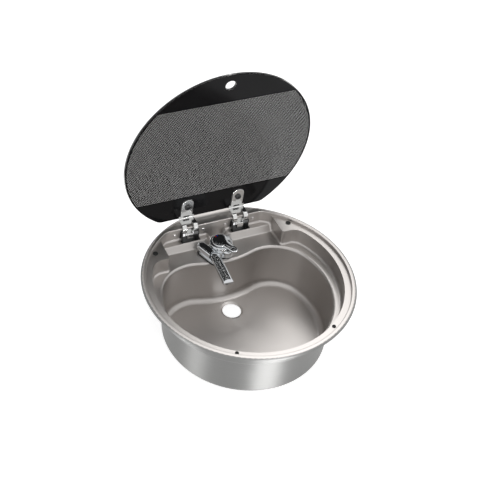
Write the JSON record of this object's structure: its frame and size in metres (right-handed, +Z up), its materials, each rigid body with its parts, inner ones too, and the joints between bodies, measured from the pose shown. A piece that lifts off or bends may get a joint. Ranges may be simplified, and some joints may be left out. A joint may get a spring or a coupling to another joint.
{
  "type": "round drop-in sink with glass lid",
  "caption": "Round drop-in steel sink for a caravan or boat, with a hinged glass lid and a low swinging mixer tap that fits under it.",
  "frame": {"origin": "centre of the round rim in plan, at the lowest point of the bowl", "axes": "+X to the right along the lid's hinge line, +Y to the back where the hinges are, +Z up out of the bowl"},
  "size_m": [0.4199, 0.42, 0.5062],
  "materials": {
    "brushed_steel": "satin",
    "bright_steel": "bright",
    "foam": "matte",
    "rubber": "matte",
    "lid_glass": "printed black with a clear dot field",
    "black_plastic": "satin",
    "black_screw": "satin black",
    "white_plastic": "matte",
    "chrome": "polished",
    "brass": "turned",
    "red_plastic": "gloss",
    "blue_plastic": "gloss"
  },
  "bodies": {
    "sink": {"sink_bowl": "brushed_steel", "rim_seal": "foam", "rear_buffers": "rubber", "front_buffers": "rubber", "hinge_bracket_left": "bright_steel", "hinge_bracket_right": "bright_steel", "hinge_pins": "bright_steel", "pin_clips": "bright_steel", "friction_rings": "white_plastic", "hinge_rivets": "bright_steel", "hinge_tub_left": "black_plastic", "hinge_tub_right": "black_plastic", "tap_gasket": "rubber", "tap_body": "chrome", "head_ring": "chrome", "tap_cartridge": "white_plastic", "cartridge_nut": "brass", "shank_washer": "rubber", "shank_nut": "brass"},
    "lid": {"lid_glass": "lid_glass", "hinge_leaf_left": "bright_steel", "hinge_leaf_right": "bright_steel", "hinge_pads": "rubber", "lid_screws": "black_screw", "screw_sleeves": "white_plastic", "cap_washers": "rubber", "cap_nuts": "black_screw"},
    "spout_arm": {"spout": "chrome", "spout_o_ring": "rubber", "aerator_housing": "black_plastic", "aerator_screen": "white_plastic"},
    "lever_stem": {"lever_spindle": "brass", "lift_pin": "bright_steel"},
    "lever_cap": {"lever": "chrome", "index_red": "red_plastic", "index_blue": "blue_plastic"}
  },
  "joints": [
    {"name": "lid_hinge", "type": "hinge", "parent": "sink", "child": "lid", "pos_m": [0, 0.18235, 0.12832], "axis": [1, 0, 0], "range_deg": [-9.5, 85.5]},
    {"name": "spout_swivel", "type": "hinge", "parent": "sink", "child": "spout_arm", "pos_m": [-0.02661, 0.09978, 0.117], "axis": [0, 0, 1], "range_deg": [-45, 45]},
    {"name": "lever_turn", "type": "hinge", "parent": "sink", "child": "lever_stem", "pos_m": [-0.003, 0.127, 0.105], "axis": [0, 0, 1], "range_deg": [-35, 35]},
    {"name": "lever_lift", "type": "hinge", "parent": "lever_stem", "child": "lever_cap", "pos_m": [-0.003, 0.127, 0.1294], "axis": [-0.9397, -0.342, 0], "range_deg": [0, 5]}
  ]
}
